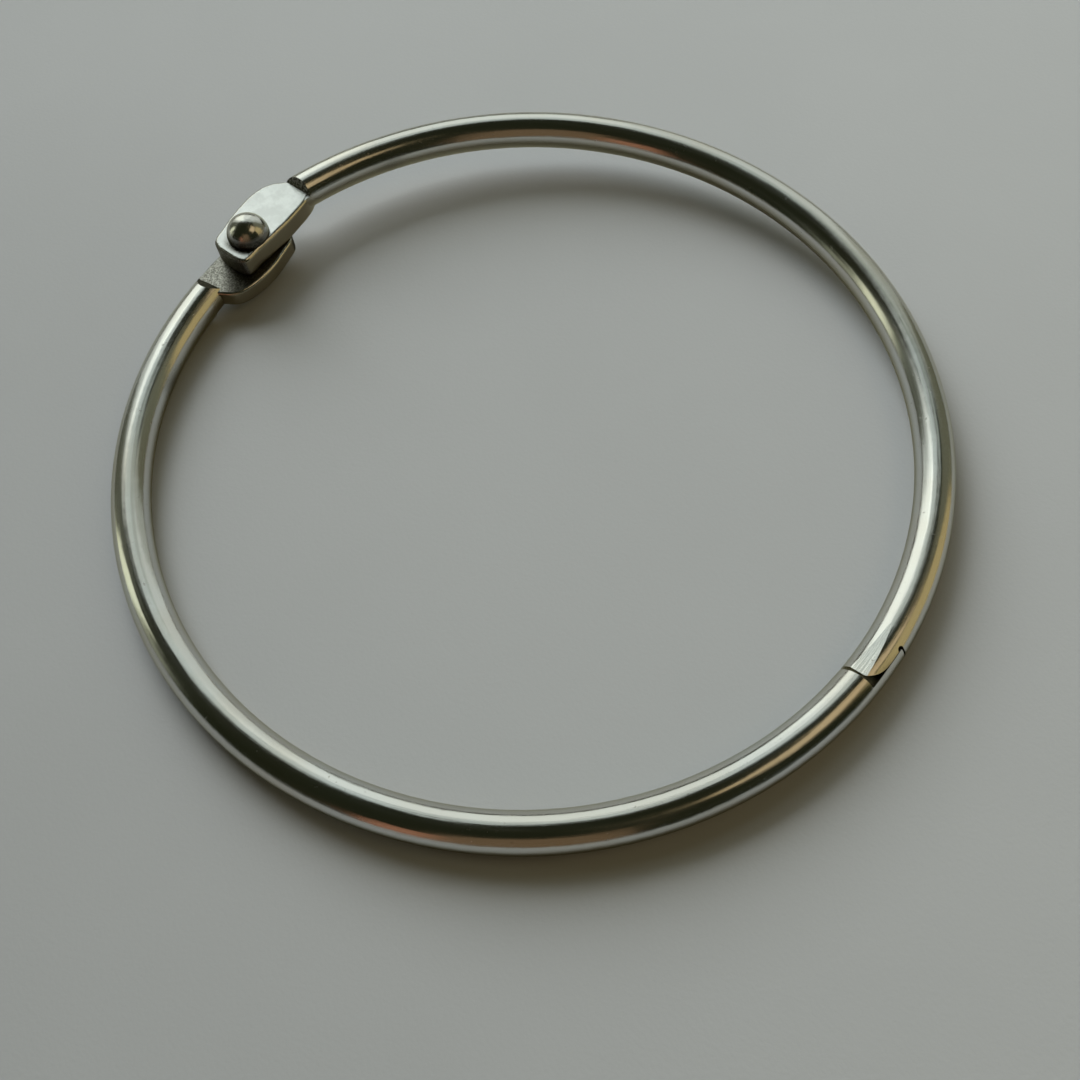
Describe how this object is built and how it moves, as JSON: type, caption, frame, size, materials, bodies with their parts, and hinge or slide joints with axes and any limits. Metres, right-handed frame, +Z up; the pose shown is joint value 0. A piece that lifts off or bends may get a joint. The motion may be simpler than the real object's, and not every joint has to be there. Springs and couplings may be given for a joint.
{
  "type": "hinged ring",
  "caption": "Round wire ring whose arms are riveted together at a hinge, swing open and close on a lapped clasp to hold keys, cards or punched sheets.",
  "frame": {"origin": "centre of the ring circle, level with the middle of the lower arm's wire", "axes": "+Z up along the hinge rivet, away from the surface the ring lies on; +X from the hinge to the clasp"},
  "size_m": [0.0847, 0.0836, 0.0078],
  "materials": {
    "plated_wire": "bright nickel plate",
    "plated_rivet": "bright nickel plate"
  },
  "bodies": {
    "lower": {"lower_arm": "plated_wire", "hinge_rivet": "plated_rivet"},
    "upper": {"upper_arm": "plated_wire"}
  },
  "joints": [
    {"name": "hinge", "type": "hinge", "parent": "lower", "child": "upper", "pos_m": [-0.0388, 0, 0.00115], "axis": [0, 0, 1], "range_deg": [0, 125]}
  ]
}
